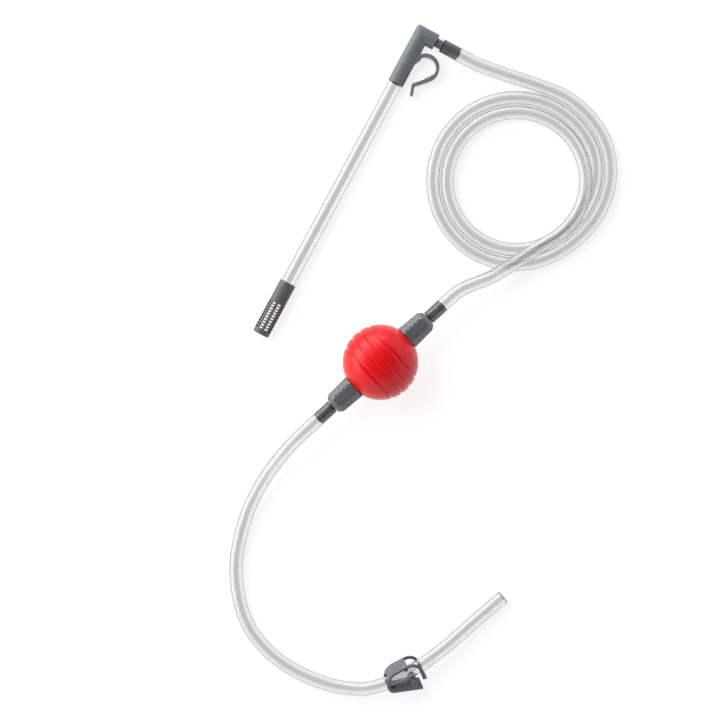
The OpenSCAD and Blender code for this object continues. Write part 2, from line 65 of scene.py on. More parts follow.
def mm(x, y, z=0.0):
    """A point given in millimetres."""
    return Vector((x, y, z)) * MM


def linear(colour):
    """An sRGB hex colour as linear RGBA."""
    channels = [int(colour[i:i + 2], 16) / 255 for i in (1, 3, 5)]
    return [c / 12.92 if c <= 0.04045 else ((c + 0.055) / 1.055) ** 2.4
            for c in channels] + [1.0]


def turn(axis, degrees):
    return Matrix.Rotation(math.radians(degrees), 4, axis)


def heading(degrees):
    a = math.radians(degrees)
    return Vector((math.cos(a), math.sin(a), 0))


# Frames of the wand (arm along +X, leg along -Y), the bulb (axis along +Z) and the clamp
# (hose along X, jaws closing along Y, strip's width along Z)
WAND_TURN = -28.3
BULB_TURN = 42.5
CLAMP_TURN = 27.5
CLAMP_TILT = 25
WAND = Matrix.Translation(mm(56, 165.5, 7.45)) @ turn("Z", WAND_TURN)
LEG = WAND @ turn("X", 90)
BULB_AT = mm(19.5, -122.5, 32.75)
INLET_END = Matrix.Translation(BULB_AT) @ turn("Z", BULB_TURN) @ turn("Y", 90)
OUTLET_END = Matrix.Translation(BULB_AT) @ turn("Z", BULB_TURN + 180) @ turn("Y", 90)
CLAMP = Matrix.Translation(mm(41.5, -395, 14.6896)) @ turn("Z", CLAMP_TURN) @ turn("X", CLAMP_TILT)

# Clearance round pieces that are pushed together, and between pieces end to end
FIT = 0.05 * MM
END_GAP = 0.1 * MM

# Lengths along the wand's leg and arm
ELBOW_LEG = 48.8 * MM
ELBOW_SOCKET = 20.8 * MM
ELBOW_ARM = 14.3 * MM
ELBOW_HOSE = 20.2 * MM
STRAINER_TOP = 247.8 * MM
STRAINER_GRIP = 18 * MM

# A hose barb: its length, the radii of its bore and of the hose's bore on it, and the straight
# stretch of hose past it
BARB = 17 * MM
BARB_BORE_R = 2.9 * MM
GRIPPED_R = 3.9 * MM
HOSE_STRAIGHT = 12 * MM

# Radius of the bulb's necks, and lengths along the bulb's axis from its centre
NECK_R = 8.6 * MM
NECK_END = 43.187 * MM
CHAMBER_START = 43.287 * MM
CHAMBER_END = 51.587 * MM
CUP_SHOULDER = 52.187 * MM
CUP_STOP = 55.987 * MM
CUP_HOSE = 56.487 * MM

# Where the hose is pinched, along the clamp
PINCH_FROM = -13 * MM
PINCH_TO = 8.4 * MM

# The open cut end of the outlet hose
MOUTH = mm(128, -329, 6)
MOUTH_TURN = 40
MOUTH_LENGTH = 20 * MM

# The coil, clockwise from above and from its outer end inwards, in degrees and millimetres
COIL_AT = (139, 37)
COIL_FIRST = 60
COIL_LAST = -780
COIL_INNER = 60.5
COIL_PITCH = 12.7
COIL_STEP_FROM = 30
COIL_STEP_SPAN = 90
COIL_LOW = 6
COIL_RISE = 13
COIL_CLIMB_FROM = -630
COIL_CLIMB_SPAN = 140

# Where the light mostly comes from
KEY_SIDE = heading(142)


def length_property(name, description, size):
    """A length that a user can change, given in millimetres."""
    return FloatProperty(name=name, description=description, default=size * MM, unit="LENGTH")


def colour_property(name, description, colour):
    """A colour that a user can change, given as sRGB hex."""
    return FloatVectorProperty(name=name, description=description, default=linear(colour),
                               subtype="COLOR", size=4, min=0, max=1)


class SiphonSizes(bpy.types.PropertyGroup):
    """Sizes of the siphon that can be changed by themselves."""

    hose_outer: length_property("Hose outside", "Outer diameter of the soft hose", 12)
    hose_bore: length_property("Hose bore", "Bore of the soft hose", 9)
    tube_outer: length_property("Tube outside", "Outer diameter of the rigid tube", 12.6)
    tube_wall: length_property("Tube wall", "Wall of the rigid tube", 1.2)
    elbow_outer: length_property("Elbow outside", "Outer diameter of the elbow", 14.5)
    strainer_outer: length_property("Strainer outside", "Outer diameter of the strainer", 14.9)
    strainer_rows: IntProperty(
        name="Slot rows", description="Rows of slots round the strainer", default=10)
    bulb_outer: length_property("Bulb", "Diameter of the squeeze bulb", 65.5)
    groove_depth: length_property("Groove depth", "Depth of the bulb's grooves", 1.1)
    cup_wide: length_property("Cup width", "Width of a connector's cup across its corners", 23.6)
    hook_width: length_property("Hook width", "Width of the rim hook's strip", 9)
    clamp_width: length_property("Clamp width", "Width of the flow clamp's strip", 16)


class SiphonColours(bpy.types.PropertyGroup):
    """Colours of the siphon's finishes."""

    bulb: colour_property("Bulb", "Red of the squeeze bulb", "#E60E19")
    wand: colour_property("Wand", "Grey of the elbow and the rim hook", "#6F747A")
    cups: colour_property(
        "Cups and strainer", "Darker grey of the connectors and the strainer", "#5B5F61")
    clamp: colour_property("Clamp", "Blue grey of the flow clamp", "#60676E")
    # The hose's and the tube's colour is the grey of the painted shade along the middle of the
    # bore
    hose: colour_property("Hose", "Tint of the clear hose's bore", "#D6D6D7")
    tube: colour_property("Tube", "Tint of the clear tube's bore", "#D2D2D3")


def add(tree, kind, inputs=(), links=(), **settings):
    """Add a node with its settings, its constant inputs and the links into it."""
    node = tree.nodes.new(kind)
    for key, value in settings.items():
        setattr(node, key, value)
    for key, value in dict(inputs).items():
        node.inputs[key].default_value = value
    for key, socket in dict(links).items():
        tree.links.new(socket, node.inputs[key])
    return node


def new_finish(name):
    """An empty material and its node tree."""
    material = bpy.data.materials.new(name)
    material.use_nodes = True
    material.node_tree.nodes.clear()
    return material, material.node_tree


def shade(colour, factor):
    return [c * factor for c in colour[:3]] + [1.0]


def moulded_plastic(name, colour, roughness, grain, shine=0.5):
    """Moulded ABS, nylon or hard rubber: faint flow marks in the colour, fine spark-eroded
    grain that breaks the highlights, edges rubbed a little lighter, and painted shade where
    a hose covers it, partly the darker look of plastic wetted by the hose wall. Grain is its size
    in millimetres."""
    material, tree = new_finish(name)
    place = add(tree, "ShaderNodeTexCoord")
    # Flow marks about 9 mm long
    flow = add(tree, "ShaderNodeTexNoise", {"Scale": 1 / (9 * MM), "Detail": 3.0},
               {"Vector": place.outputs["Object"]})
    tone = add(tree, "ShaderNodeMix", {"A": shade(colour, 0.9), "B": shade(colour, 1.12)},
               {"Factor": flow.outputs["Fac"]}, data_type="RGBA")
    edge = add(tree, "ShaderNodeNewGeometry")
    rubbed = add(tree, "ShaderNodeMapRange",
                 {"From Min": 0.52, "From Max": 0.6, "To Min": 0.0, "To Max": 0.35},
                 {"Value": edge.outputs["Pointiness"]})
    worn = add(tree, "ShaderNodeMix", {"B": shade(colour, 1.55)},
               {"Factor": rubbed.outputs["Result"], "A": tone.outputs["Result"]},
               data_type="RGBA")
    # Painted shade where a hose covers the piece: the colour darkens to 0.6 on the marked barb,
    # partly the darker look of plastic wetted by the hose wall
    gripped = add(tree, "ShaderNodeAttribute", attribute_name="inside")
    painted_hose_shade = add(tree, "ShaderNodeMix", {"B": shade(colour, 0.6)},
                {"Factor": gripped.outputs["Fac"], "A": worn.outputs["Result"]},
                data_type="RGBA")
    fine = add(tree, "ShaderNodeTexNoise", {"Scale": 1 / (grain * MM), "Detail": 2.0},
               {"Vector": place.outputs["Object"]})
    gloss = add(tree, "ShaderNodeMapRange",
                {"To Min": roughness - 0.06, "To Max": roughness + 0.08},
                {"Value": fine.outputs["Fac"]})
    relief = add(tree, "ShaderNodeBump", {"Strength": 0.25, "Distance": 0.04 * MM},
                 {"Height": fine.outputs["Fac"]})
    surface = add(tree, "ShaderNodeBsdfPrincipled",
                  {"IOR": 1.53, "Specular IOR Level": shine},
                  {"Base Color": painted_hose_shade.outputs["Result"], "Roughness": gloss.outputs["Result"],
                   "Normal": relief.outputs["Normal"]})
    add(tree, "ShaderNodeOutputMaterial", links={"Surface": surface.outputs["BSDF"]})
    return material


def bulb_rubber(name, colour):
    """Moulded natural-rubber compound: a dense warm red with a satin skin, a faint bloom
    that dulls it in patches, and painted shade in the grooves, a darker red along them."""
    material, tree = new_finish(name)
    place = add(tree, "ShaderNodeTexCoord")
    # Bloom in patches of about 14 mm
    bloom = add(tree, "ShaderNodeTexNoise", {"Scale": 1 / (14 * MM), "Detail": 4.0},
                {"Vector": place.outputs["Object"]})
    tone = add(tree, "ShaderNodeMix", {"A": shade(colour, 0.92), "B": shade(colour, 1.08)},
               {"Factor": bloom.outputs["Fac"]}, data_type="RGBA")
    # Painted shade in the grooves: the red is darkened to 0.7 along the groove mark
    groove = add(tree, "ShaderNodeAttribute", attribute_name="groove")
    painted_groove_shade = add(tree, "ShaderNodeMix", {"B": shade(colour, 0.7)},
               {"Factor": groove.outputs["Fac"], "A": tone.outputs["Result"]},
               data_type="RGBA")
    # Skin texture of 0.8 mm
    skin = add(tree, "ShaderNodeTexNoise", {"Scale": 1 / (0.8 * MM), "Detail": 2.0},
               {"Vector": place.outputs["Object"]})
    gloss = add(tree, "ShaderNodeMapRange", {"To Min": 0.22, "To Max": 0.34},
                {"Value": bloom.outputs["Fac"]})
    relief = add(tree, "ShaderNodeBump", {"Strength": 0.12, "Distance": 0.05 * MM},
                 {"Height": skin.outputs["Fac"]})
    surface = add(tree, "ShaderNodeBsdfPrincipled", {"IOR": 1.52, "Specular IOR Level": 0.36},
                  {"Base Color": painted_groove_shade.outputs["Result"], "Roughness": gloss.outputs["Result"],
                   "Normal": relief.outputs["Normal"]})
    add(tree, "ShaderNodeOutputMaterial", links={"Surface": surface.outputs["BSDF"]})
    return material


def clear_plastic(name, colour, clear, roughness, absorbed):
    """Extruded clear PVC: glossy outside, with painted shade that follows how square the surface
    faces the view: on the bore a grey along the middle that fades to near white beside it, and on
    the outside a grey along the outline. Clear is the share of light that passes without haze, and
    absorbed is the wall's density per metre."""
    material, tree = new_finish(name)
    place = add(tree, "ShaderNodeTexCoord")
    # Haze that comes and goes every 8 mm
    haze = add(tree, "ShaderNodeTexNoise", {"Scale": 1 / (8 * MM), "Detail": 2.0},
               {"Vector": place.outputs["Object"]})
    gloss = add(tree, "ShaderNodeMapRange",
                {"To Min": roughness * 0.5, "To Max": roughness * 1.5},
                {"Value": haze.outputs["Fac"]})
    bore = add(tree, "ShaderNodeAttribute", attribute_name="inside")
    # Painted shade by how square the surface faces the view: on the bore a grey along the middle
    # that fades to near white beside it, and on the outside a grey along the outline
    slant = add(tree, "ShaderNodeLayerWeight", {"Blend": 0.5}).outputs["Facing"]
    middle_shade_ramp = add(tree, "ShaderNodeMapRange", {"From Min": 0.0, "From Max": 0.16},
                    {"Value": slant})
    outline_shade_ramp = add(tree, "ShaderNodeMapRange", {"From Min": 0.3, "From Max": 0.62},
                  {"Value": slant})
    core = add(tree, "ShaderNodeMix", {"A": list(colour), "B": linear("#FAFAFA")},
               {"Factor": middle_shade_ramp.outputs["Result"]}, data_type="RGBA")
    outline = add(tree, "ShaderNodeMix", {"A": linear("#FAFAFA"), "B": linear("#96989A")},
                  {"Factor": outline_shade_ramp.outputs["Result"]}, data_type="RGBA")
    tint = add(tree, "ShaderNodeMix", links={
        "Factor": bore.outputs["Fac"], "A": outline.outputs["Result"],
        "B": core.outputs["Result"]}, data_type="RGBA")
    # Painted shade on the sawn end: a dark grey on the cut face and its rounded lip
    cut = add(tree, "ShaderNodeAttribute", attribute_name="cut")
    sawn = add(tree, "ShaderNodeMix", {"B": linear("#6E7072")},
               {"Factor": cut.outputs["Fac"], "A": tint.outputs["Result"]}, data_type="RGBA")
    surface = add(tree, "ShaderNodeBsdfPrincipled",
                  {"IOR": 1.5, "Transmission Weight": clear},
                  {"Base Color": sawn.outputs["Result"], "Roughness": gloss.outputs["Result"]})
    out = add(tree, "ShaderNodeOutputMaterial", links={"Surface": surface.outputs["BSDF"]})
    if absorbed:
        wall = add(tree, "ShaderNodeVolumeAbsorption",
                   {"Color": linear("#808284"), "Density": absorbed})
        tree.links.new(wall.outputs["Volume"], out.inputs["Volume"])
    return material


def stage_floor():
    """White painted board: white to the eye, to gloss and through clear pieces, and matt
    under the light, so that the object's shadow stays."""
    material, tree = new_finish("white_stage_board")
    ray = add(tree, "ShaderNodeLightPath")
    seen = add(tree, "ShaderNodeMath", links={
        0: ray.outputs["Is Camera Ray"], 1: ray.outputs["Is Glossy Ray"]}, operation="MAXIMUM")
    paint = add(tree, "ShaderNodeMix", {"A": linear("#E4E4E4"), "B": linear("#9A9A9A")},
                {"Factor": seen.outputs[0]}, data_type="RGBA")
    matt = add(tree, "ShaderNodeBsdfDiffuse", links={"Color": paint.outputs["Result"]})
    glow = add(tree, "ShaderNodeMath", {1: 0.8}, {0: seen.outputs[0]}, operation="MULTIPLY")
    lit = add(tree, "ShaderNodeEmission", links={"Strength": glow.outputs[0]})
    board = add(tree, "ShaderNodeAddShader",
                links={0: matt.outputs["BSDF"], 1: lit.outputs["Emission"]})
    white = add(tree, "ShaderNodeEmission", {"Strength": 1.0})
    both = add(tree, "ShaderNodeMixShader", links={
        0: ray.outputs["Is Transmission Ray"], 1: board.outputs["Shader"],
        2: white.outputs["Emission"]})
    add(tree, "ShaderNodeOutputMaterial", links={"Surface": both.outputs["Shader"]})
    return material


def shared(name, make, *values):
    """The finish of that name, made when it is first asked for."""
    return bpy.data.materials.get(name) or make(name, *values)


def wand_plastic(context):
    return shared("moulded_grey_abs", moulded_plastic,
                  context.scene.siphon_colours.wand, 0.36, 0.7)


def cup_plastic(context):
    return shared("moulded_dark_grey_abs", moulded_plastic,
                  context.scene.siphon_colours.cups, 0.22, 0.7, 0.85)


def strainer_plastic(context):
    return shared("moulded_matt_grey_abs", moulded_plastic,
                  context.scene.siphon_colours.cups, 0.42, 0.7)


def clamp_plastic(context):
    return shared("moulded_blue_grey_nylon", moulded_plastic,
                  context.scene.siphon_colours.clamp, 0.42, 0.9)


def hose_plastic(context):
    return shared("extruded_clear_soft_pvc", clear_plastic,
                  context.scene.siphon_colours.hose, 0.95, 0.03, 6.0)


def pinched_plastic(context):
    """The hose's finish for its open rings, which hold no volume."""
    return shared("extruded_clear_soft_pvc_ring", clear_plastic,
                  context.scene.siphon_colours.hose, 0.95, 0.03, 0.0)


def tube_plastic(context):
    return shared("extruded_clear_rigid_pvc", clear_plastic,
                  context.scene.siphon_colours.tube, 0.98, 0.02, 6.0)


def skin(rings, wrap=False, cap=True, **marks):
    """A mesh through rings of points: wrapped from last to first, or with its ends closed.
    Each mark names a point attribute and the rings on which it is 1: inside is a clear piece's
    bore or what lies in a hose, and cut is a hose's sawn end."""
    bm = bmesh.new()
    layers = [bm.verts.layers.float.new(name) for name in marks]
    rows = [[bm.verts.new(p) for p in ring] for ring in rings]
    for layer, marked in zip(layers, marks.values()):
        for vert in (v for i in marked for v in rows[i]):
            vert[layer] = 1.0
    following = rows[1:] + rows[:1] if wrap else rows[1:]
    for a, b in zip(rows, following):
        for k in range(len(a)):
            n = (k + 1) % len(a)
            bm.faces.new((a[k], a[n], b[n], b[k]))
    if cap and not wrap:
        bm.faces.new(rows[0])
        bm.faces.new(rows[-1])
    bmesh.ops.recalc_face_normals(bm, faces=bm.faces)
    if bm.calc_volume(signed=True) < 0:
        bmesh.ops.reverse_faces(bm, faces=bm.faces)
    return bm


def all_round(steps):
    """Even angles of a full turn."""
    return [2 * math.pi * k / steps for k in range(steps)]


def lathe_rings(at, profile, steps):
    """Rings round the Z axis of a frame, through (height, radius) points."""
    return [[at @ Vector((r * math.cos(a), r * math.sin(a), u)) for a in all_round(steps)]
            for u, r in profile]


def slab(at, outline, width):
    """A strip on edge: a flat outline in millimetres, pulled out to its width both ways."""
    return skin([[at @ Vector((x * MM, y * MM, z)) for x, y in outline]
                 for z in (-width / 2, width / 2)])


def arc(centre, radius, start, stop, steps):
    """Points on an arc from start to stop, in degrees."""
    angles = [math.radians(start + (stop - start) * i / steps) for i in range(steps + 1)]
    return [(centre[0] + radius * math.cos(a), centre[1] + radius * math.sin(a)) for a in angles]


def box_mesh(at, low, high):
    """A box between two corners of a frame, as a cutter."""
    bm = bmesh.new()
    bmesh.ops.create_cube(bm, size=1)
    size = [h - l for l, h in zip(low, high)]
    middle = [(l + h) / 2 for l, h in zip(low, high)]
    bmesh.ops.scale(bm, vec=size, verts=bm.verts)
    bmesh.ops.translate(bm, vec=middle, verts=bm.verts)
    bmesh.ops.transform(bm, matrix=at, verts=bm.verts)
    return bm


def rod_mesh(at, radius, low, high, steps):
    """A rod along the Z axis of a frame, as a cutter."""
    return skin(lathe_rings(at, [(low, radius), (high, radius)], steps))


def join(bm, other):
    """Add another mesh to a mesh."""
    mesh = bpy.data.meshes.new("joined")
    other.to_mesh(mesh)
    other.free()
    bm.from_mesh(mesh)
    bpy.data.meshes.remove(mesh)


def as_object(name, bm):
    mesh = bpy.data.meshes.new(name)
    bm.to_mesh(mesh)
    bm.free()
    piece = bpy.data.objects.new(name, mesh)
    bpy.context.scene.collection.objects.link(piece)
    return piece


def carve(piece, cutters):
    """Cut each cutter mesh out of a piece."""
    for bm in cutters:
        tool = as_object("cutter", bm)
        cut = piece.modifiers.new("cut", "BOOLEAN")
        cut.operation = "DIFFERENCE"
        cut.solver = "EXACT"
        cut.object = tool
        settle(piece)
        bpy.data.objects.remove(tool)


def settle(piece):
    """Make the result of a piece's modifiers its mesh."""
    graph = bpy.context.evaluated_depsgraph_get()
    mesh = bpy.data.meshes.new_from_object(piece.evaluated_get(graph))
    piece.modifiers.clear()
    piece.data = mesh


def round_edges(piece, width, segments=2, angle=35):
    """Round the edges of a piece that are sharper than an angle."""
    bevel = piece.modifiers.new("rounding", "BEVEL")
    bevel.width = width
    bevel.segments = segments
    bevel.limit_method = "ANGLE"
    bevel.angle_limit = math.radians(angle)
    bevel.use_clamp_overlap = True
    settle(piece)


def dress(piece, material, body, nodes=(), sharp=30):
    """Give a piece its finish and smooth shading, and set it on its body."""
    mesh = piece.data
    mesh.materials.clear()
    mesh.materials.append(material)
    mesh.polygons.foreach_set("use_smooth", [True] * len(mesh.polygons))
    mesh.set_sharp_from_angle(angle=math.radians(sharp))
    mesh.update()
    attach(piece, body)
    if nodes:
        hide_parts(*nodes)


def route(points, start, end, steps=12):
    """A smooth curve through points, leaving along start and arriving along end."""
    last = len(points) - 1

    def slope(i):
        if i == 0:
            return start * (points[1] - points[0]).length
        if i == last:
            return end * (points[last] - points[last - 1]).length
        return (points[i + 1] - points[i - 1]) / 2

    curve = []
    for i in range(last):
        for k in range(steps):
            t = k / steps
            t2, t3 = t * t, t * t * t
            curve.append((2 * t3 - 3 * t2 + 1) * points[i] + (t3 - 2 * t2 + t) * slope(i)
                         + (3 * t2 - 2 * t3) * points[i + 1] + (t3 - t2) * slope(i + 1))
    return curve + [points[last]]


def evenly(points, spacing):
    """Points about one spacing apart along a line."""
    lengths = [0.0]
    for a, b in zip(points, points[1:]):
        lengths.append(lengths[-1] + (b - a).length)
    count = max(2, round(lengths[-1] / spacing))
    result, i = [], 0
    for k in range(count + 1):
        at = lengths[-1] * k / count
        while i < len(points) - 2 and lengths[i + 1] < at:
            i += 1
        span = lengths[i + 1] - lengths[i]
        result.append(points[i].lerp(points[i + 1], (at - lengths[i]) / span if span else 0))
    return result


def length_of(points):
    return sum((b - a).length for a, b in zip(points, points[1:]))


def hose_mesh(path, outer, inner, lip=0.35 * MM, sides=64, ends=True, barbs=(0, 0), cuts=(0, 0)):
    """A hose along a path, with its bore and softly rounded ends. Barbs says which ends are
    pushed on a barb, where the wall grips it with no air between, and cuts which are sawn."""
    last = len(path) - 1
    step = length_of(path) / last
    widening = 1.5 * MM

    def bore(i):
        off_barbs = [d * step - BARB for d, held in zip((i, last - i), barbs) if held]
        return GRIPPED_R + (inner - GRIPPED_R) * ease(min(off_barbs, default=BARB) / widening)

    frames = []
    for i, p in enumerate(path):
        along = (path[min(i + 1, last)] - path[max(i - 1, 0)]).normalized()
        side = along.cross(Vector((0, 0, 1))).normalized()
        frames.append((p, along, side, side.cross(along)))

    def ring(i, radius, shift=0.0):
        p, along, side, up = frames[i]
        return [p + along * shift + radius * (math.cos(a) * side + math.sin(a) * up)
                for a in all_round(sides)]

    middle = range(1, last)
    outside = [ring(i, outer) for i in middle]
    inside = [ring(i, bore(i)) for i in reversed(middle)]
    if not ends:
        outside = [ring(0, outer)] + outside + [ring(last, outer)]
        inside = [ring(last, inner)] + inside + [ring(0, inner)]
        bm = skin(outside, cap=False, inside=())
        lining = skin(inside, cap=False, inside=range(len(inside)))
        bmesh.ops.reverse_faces(lining, faces=lining.faces)
        join(bm, lining)
        return bm
    outside = [ring(0, outer - lip), ring(0, outer - lip * 0.3, lip * 0.3),
               ring(0, outer, lip)] + outside
    outside += [ring(last, outer, -lip), ring(last, outer - lip * 0.3, -lip * 0.3),
                ring(last, outer - lip)]
    inside = [ring(last, bore(last) + lip), ring(last, bore(last), -lip)] + inside
    inside += [ring(0, bore(0), lip), ring(0, bore(0) + lip)]
    rings = outside + inside
    far = len(outside)
    # The sawn end's rings, which the clear finish darkens as painted shade
    sawn = [-1, 0, 1, 2] if cuts[0] else []
    sawn += [far, far - 1, far - 2, far - 3] if cuts[1] else []
    return skin(rings, wrap=True, inside=range(far, len(rings)), cut=sawn)


def on_arm(x):
    return WAND @ Vector((x, 0, 0))


def on_bulb(u):
    return BULB_AT + heading(BULB_TURN) * u


def on_clamp(x):
    return CLAMP @ Vector((x, 0, 0))


def ease(x):
    c = min(max(x, 0), 1)
    return c * c * (3 - 2 * c)


def coil_point(a):
    """A point of the coil at an angle: each turn steps in by one pitch over a quarter turn,
    and the last stretch climbs over the turns below it."""
    run = max(COIL_STEP_FROM - a, 0)
    turns = math.floor(run / 360)
    inner = min(turns + ease((run - 360 * turns) / COIL_STEP_SPAN), 2)
    radius = COIL_INNER + COIL_PITCH * (2 - inner)
    height = COIL_LOW + COIL_RISE * ease((COIL_CLIMB_FROM - a) / COIL_CLIMB_SPAN)
    return mm(COIL_AT[0] + radius * math.cos(math.radians(a)),
              COIL_AT[1] + radius * math.sin(math.radians(a)), height)


def inlet_route():
    """From the elbow's barb through the coil to the bulb."""
    coil = [coil_point(COIL_FIRST - 3 * k) for k in range((COIL_FIRST - COIL_LAST) // 3 + 1)]
    lead = route([on_arm(ELBOW_HOSE + BARB + HOSE_STRAIGHT), mm(126, 132, 6.4),
                  mm(153, 123, 6.1), coil[0]],
                 heading(WAND_TURN), heading(COIL_FIRST - 90))
    tail = route([coil[-1], mm(143, -32, 20.5), mm(117, -48, 27),
                  on_bulb(CUP_HOSE + BARB + HOSE_STRAIGHT)],
                 heading(COIL_LAST - 90), -heading(BULB_TURN))
    return [on_arm(ELBOW_HOSE)] + lead + coil[1:] + tail[1:] + [on_bulb(CUP_HOSE)]


def outlet_route():
    """From the bulb to where the clamp pinches the hose."""
    free = [mm(*p) for p in (
        (-63, -200, 27), (-82, -225, 15), (-98, -257, 7), (-107, -297, 6.1), (-104, -333, 6.1),
        (-93, -360, 6.1), (-73, -382, 6.1), (-50, -396.5, 6.5), (-24, -406, 8.5),
        (0, -409, 12), (14, -407, 14.2))]
    curve = route([on_bulb(-CUP_HOSE - BARB - HOSE_STRAIGHT)] + free
                  + [on_clamp(PINCH_FROM - 3 * MM)],
                  -heading(BULB_TURN), heading(CLAMP_TURN))
    return [on_bulb(-CUP_HOSE)] + curve + [on_clamp(PINCH_FROM)]


def open_end_route():
    """From the clamp to the open cut end."""
    curve = route([on_clamp(PINCH_TO), mm(74, -374.3, 12.2), mm(96, -356, 7.6),
                   MOUTH - heading(MOUTH_TURN) * MOUTH_LENGTH],
                  heading(CLAMP_TURN), heading(MOUTH_TURN))
    return curve + [MOUTH]


def barb_profile(start, neck):
    """(Height, radius) points of a neck and three ridges, up to the tip and into its bore."""
    core, ridge, pitch = 4.05 * MM, 4.45 * MM, 5 * MM
    points = [(start, core), (start + neck - 0.1 * MM, core), (start + neck, core)]
    for i in range(3):
        u = start + neck + 2 * MM + i * pitch
        points += [(u - 0.15 * MM, core), (u, ridge), (u + 0.3 * MM, ridge),
                   (u + 0.8 * pitch, core)]
    tip = start + neck + BARB
    return points + [(tip - 0.3 * MM, core), (tip, core - 0.3 * MM), (tip, BARB_BORE_R)]


class SIPHON_OT_stage(bpy.types.Operator):
    """Camera above, white floor and soft light from all round"""
    bl_idname = "siphon.stage"
    bl_label = "Stage"

    def execute(self, context):
        scene = context.scene
        scene.view_settings.view_transform = "Standard"
        lens = bpy.data.cameras.new("camera")
        lens.lens = 100
        lens.sensor_width = 36
        lens.clip_end = 10
        camera = bpy.data.objects.new("camera", lens)
        camera.location = (0.00176, -0.12056, 1.766)
        scene.collection.objects.link(camera)
        scene.camera = camera

        board = bmesh.new()
        bmesh.ops.create_grid(board, x_segments=1, y_segments=1, size=4)
        floor = as_object("floor", board)
        floor.location.z = -0.1 * MM
        floor.data.materials.append(stage_floor())

        # A light tent: bright walls to half its height, brightest at one side, and dark overhead
        world = bpy.data.worlds.new("light_tent")
        world.use_nodes = True
        scene.world = world
        tree = world.node_tree
        tree.nodes.clear()
        way = add(tree, "ShaderNodeTexCoord").outputs["Generated"]
        height = add(tree, "ShaderNodeSeparateXYZ", links={"Vector": way}).outputs["Z"]
        lean = add(tree, "ShaderNodeVectorMath", {1: KEY_SIDE}, {0: way}, operation="DOT_PRODUCT")
        wall = add(tree, "ShaderNodeMapRange",
                   {"From Min": 0.2, "From Max": 0.95, "To Min": 1.2, "To Max": 4.6},
                   {"Value": lean.outputs["Value"]}, interpolation_type="SMOOTHSTEP")
        rise = add(tree, "ShaderNodeMapRange", {"From Min": 0.3, "From Max": 0.8},
                   {"Value": height}, interpolation_type="SMOOTHSTEP")
        level = add(tree, "ShaderNodeMix", {"B": 0.14},
                    {"Factor": rise.outputs["Result"], "A": wall.outputs["Result"]})
        sky = add(tree, "ShaderNodeBackground", links={"Strength": level.outputs["Result"]})
        add(tree, "ShaderNodeOutputWorld", links={"Surface": sky.outputs["Background"]})

        # A soft box high on the same side
        lamp = bpy.data.lights.new("key", "AREA")
        lamp.shape = "RECTANGLE"
        lamp.size = 0.7
        lamp.size_y = 0.5
        lamp.energy = 7
        key = bpy.data.objects.new("key", lamp)
        middle = Vector((0, -0.12, 0))
        key.location = middle + KEY_SIDE * 0.75 + Vector((0, 0, 1.15))
        key.rotation_euler = (middle - key.location).to_track_quat("-Z", "Y").to_euler()
        key.visible_glossy = False
        key.visible_transmission = False
        scene.collection.objects.link(key)
        return {"FINISHED"}


class SIPHON_OT_inlet_hose(bpy.types.Operator):
    """Clear hose from the wand, in a coil of two turns and more, to the bulb"""
    bl_idname = "siphon.inlet_hose"
    bl_label = "Inlet hose"

    def execute(self, context):
        sizes = context.scene.siphon_sizes
        path = evenly(inlet_route(), 2 * MM)
        hose = as_object("inlet_hose_run", hose_mesh(path, sizes.hose_outer / 2,
                                                     sizes.hose_bore / 2, barbs=(1, 1),
                                                     cuts=(1, 1)))
        dress(hose, hose_plastic(context), "siphon",
              ("inlet_hose_lead", "inlet_hose_coil", "inlet_hose_tail"))
        return {"FINISHED"}


class SIPHON_OT_outlet_hose(bpy.types.Operator):
    """Clear hose from the bulb through the clamp to its open cut end"""
    bl_idname = "siphon.outlet_hose"
    bl_label = "Outlet hose"

    def execute(self, context):
        sizes = context.scene.siphon_sizes
        outer, inner = sizes.hose_outer / 2, sizes.hose_bore / 2
        clear = hose_plastic(context)
        path = evenly(outlet_route(), 2 * MM)
        run = as_object("outlet_hose_run", hose_mesh(path, outer, inner, barbs=(1, 0),
                                                      cuts=(1, 0)))
        dress(run, clear, "siphon", ("outlet_hose",))

        # Rings of the stretch that the clamp pinches and of where it opens again, one for each
        # share below; the shares, each ring's flattening as the clamp closes, are not used, and
        # the rings stay round
        pinched = pinched_plastic(context)
        shares = (0.9, 0.78, 0.73, 0.69, 0.64, 0.56, 0.46, 0.34, 0.215, 0.21, 0.255,
                  0.38, 0.52, 0.66, 0.79, 0.89, 0.96)
        in_clamp, past_clamp = 11, 6
        step = (PINCH_TO - PINCH_FROM) / in_clamp
        end_path = evenly(open_end_route(), 2 * MM)
        stops = [on_clamp(PINCH_FROM + step * i) for i in range(in_clamp)]
        stops += end_path[:past_clamp + 1]
        for i, share in enumerate(shares):
            ring_path = [stops[i].lerp(stops[i + 1], k / 3) for k in range(4)]
            ring = as_object(f"outlet_hose_pinch_{i + 1}",
                             hose_mesh(ring_path, outer, inner, ends=False))
            dress(ring, pinched, "siphon", ("outlet_hose_pinch",))
            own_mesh(ring)

        end_path = end_path[past_clamp:]
        end = as_object("outlet_hose_open_end", hose_mesh(end_path, outer, inner, cuts=(0, 1)))
        dress(end, clear, "siphon", ("outlet_hose_end", "outlet_hose_mouth"))
        return {"FINISHED"}


